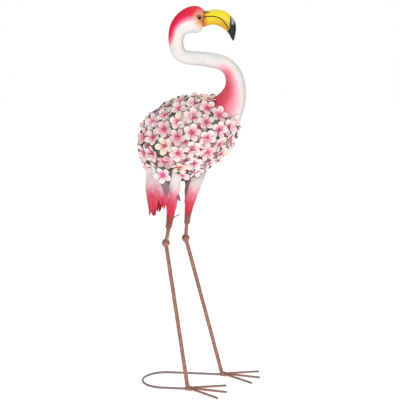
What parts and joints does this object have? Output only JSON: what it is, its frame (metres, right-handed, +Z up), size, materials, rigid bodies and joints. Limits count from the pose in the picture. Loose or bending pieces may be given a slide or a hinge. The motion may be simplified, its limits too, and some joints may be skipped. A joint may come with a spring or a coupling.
{
  "type": "animal garden statue",
  "caption": "Standing flamingo of painted sheet metal with a flower-covered body, thin tube legs, rod toes and a rod hoop on the ground behind the feet.",
  "frame": {"origin": "on the ground, below the middle of the statue's bounding box", "axes": "+X the way the bird looks, +Y to its left, +Z up"},
  "size_m": [0.3208, 0.2336, 1.004],
  "materials": {
    "neck_enamel": "satin warm-white enamel that shades to pink and red",
    "beak_enamel": "glossy yellow enamel with a black tip",
    "eye_enamel": "glossy dark-brown enamel",
    "flower_enamel": "satin pink enamel with pale petal rims",
    "feather_enamel": "satin enamel that shades from white to red",
    "rod_enamel": "satin pinkish-brown paint"
  },
  "bodies": {
    "root": {"beak": "beak_enamel", "eye_left": "eye_enamel", "eye_right": "eye_enamel", "flower_body": "flower_enamel", "ground_hoop": "rod_enamel", "knee_left": "rod_enamel", "knee_right": "rod_enamel", "leg_left": "rod_enamel", "leg_right": "rod_enamel", "low_flower": "flower_enamel", "neck_and_head": "neck_enamel", "tail_feather_front_left": "feather_enamel", "tail_feather_front_right": "feather_enamel", "tail_feather_inner_left": "feather_enamel", "tail_feather_inner_right": "feather_enamel", "tail_feather_middle": "feather_enamel", "tail_feather_outer_left": "feather_enamel", "tail_feather_outer_right": "feather_enamel", "thigh_left": "feather_enamel", "thigh_right": "feather_enamel", "toe_left_inner": "rod_enamel", "toe_left_middle": "rod_enamel", "toe_left_outer": "rod_enamel", "toe_right_inner": "rod_enamel", "toe_right_middle": "rod_enamel", "toe_right_outer": "rod_enamel", "weld_left": "rod_enamel", "weld_right": "rod_enamel"}
  },
  "joints": []
}
